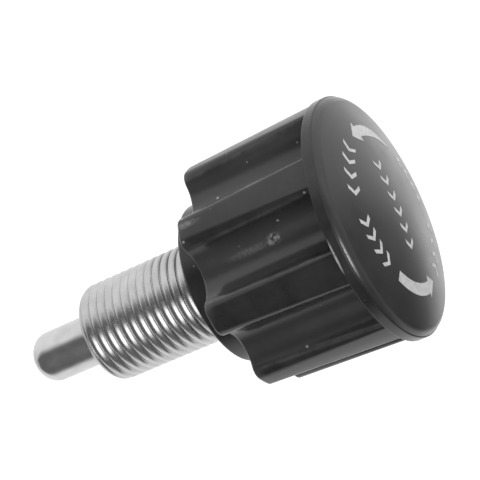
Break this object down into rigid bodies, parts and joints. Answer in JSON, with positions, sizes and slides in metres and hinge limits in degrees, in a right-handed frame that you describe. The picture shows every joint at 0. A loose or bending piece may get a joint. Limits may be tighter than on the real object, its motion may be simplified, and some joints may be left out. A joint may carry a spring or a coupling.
{
  "type": "indexing plunger",
  "caption": "Spring-loaded pull pin with a threaded barrel, a round-nosed index pin and a round fluted pull knob under a domed cap.",
  "frame": {"origin": "on the plunger's axis at the barrel's front face, where the index pin's nose leaves the barrel", "axes": "+Z along the plunger's axis towards the knob, the way the knob is pulled; +X and +Y pass through the middles of knob lobes"},
  "size_m": [0.0384, 0.0384, 0.0667],
  "materials": {
    "barrel_zinc": "bright zinc plate over cut thread",
    "pin_steel": "zinc plate, turned",
    "spring_steel": "drawn wire, oiled",
    "bush_brass": "turned",
    "ring_steel": "blackened spring steel",
    "knob_plastic": "glossy black moulding with light handling wear",
    "cap_plastic": "satin dark grey moulding with light grey print",
    "washer_zinc": "zinc plate, stamped",
    "nut_zinc": "zinc plate",
    "locking_nylon": "nylon"
  },
  "bodies": {
    "barrel": {"threaded_barrel": "barrel_zinc", "pin_spring": "spring_steel", "rear_guide_bush": "bush_brass", "bush_retaining_ring": "ring_steel"},
    "puller": {"index_pin": "pin_steel", "knob_body": "knob_plastic", "dome_cap": "cap_plastic", "lower_clamp_washer": "washer_zinc", "upper_clamp_washer": "washer_zinc", "knob_nut": "nut_zinc", "nut_locking_ring": "locking_nylon"}
  },
  "joints": [
    {"name": "knob_pull", "type": "slide", "parent": "barrel", "child": "puller", "axis": [0, 0, 1], "range_m": [0, 0.0127], "stiffness_N_per_m": 1900, "springref_m": -0.006, "deforming": ["pin_spring"]}
  ]
}
